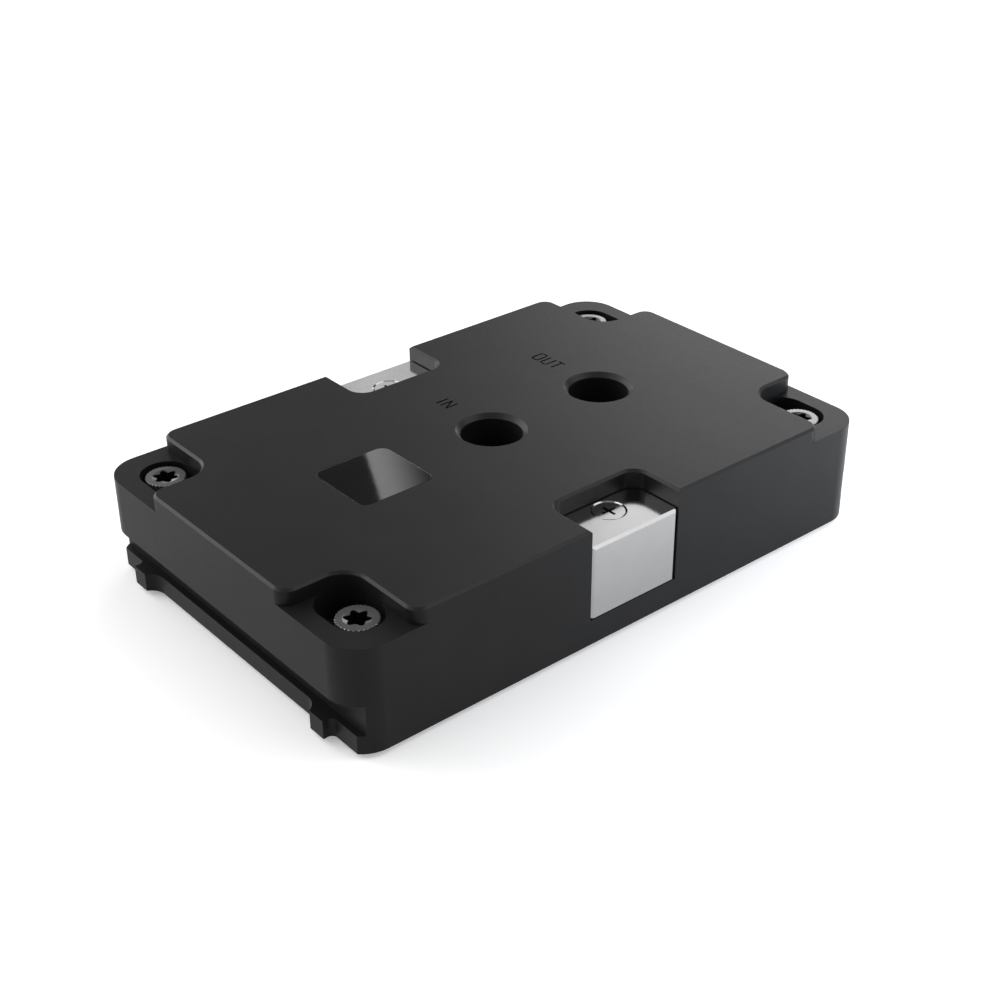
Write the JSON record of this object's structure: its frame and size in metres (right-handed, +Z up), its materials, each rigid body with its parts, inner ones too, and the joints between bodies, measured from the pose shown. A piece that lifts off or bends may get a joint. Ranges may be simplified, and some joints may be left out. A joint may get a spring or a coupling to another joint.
{
  "type": "cpu water block",
  "caption": "Low rectangular liquid-cooling block with a finned cold plate, threaded ports on top, captive corner fasteners, side brackets and clip grooves at both ends.",
  "frame": {"origin": "centre of the cold plate's contact face, which is the bottom of the block", "axes": "+X along the long side towards the outlet port, +Y towards the rear long side, +Z up towards the ports"},
  "size_m": [0.118, 0.0756, 0.0238],
  "materials": {
    "black_acetal": "fine machined satin",
    "nickel_plate": "satin nickel plating on copper",
    "bracket_aluminium": "bead blasted and clear anodised",
    "screw_steel": "zinc plated",
    "nut_steel": "dark nickel over a knurled head",
    "spring_steel": "plain stainless",
    "seal_rubber": "smooth",
    "gloss_black": "polished"
  },
  "bodies": {
    "root": {"housing": "black_acetal", "cold_plate": "nickel_plate", "jet_plate": "spring_steel", "main_seal": "seal_rubber", "cold_plate_screws": "screw_steel", "front_bracket": "bracket_aluminium", "front_bracket_screw": "screw_steel", "rear_bracket": "bracket_aluminium", "rear_bracket_screw": "screw_steel", "badge_plate": "gloss_black", "mount_nut_front_left": "nut_steel", "mount_washer_front_left": "spring_steel", "retaining_ring_front_left": "spring_steel", "mount_nut_front_right": "nut_steel", "mount_washer_front_right": "spring_steel", "retaining_ring_front_right": "spring_steel", "mount_nut_rear_left": "nut_steel", "mount_washer_rear_left": "spring_steel", "retaining_ring_rear_left": "spring_steel", "mount_nut_rear_right": "nut_steel", "mount_washer_rear_right": "spring_steel", "retaining_ring_rear_right": "spring_steel"}
  },
  "joints": []
}
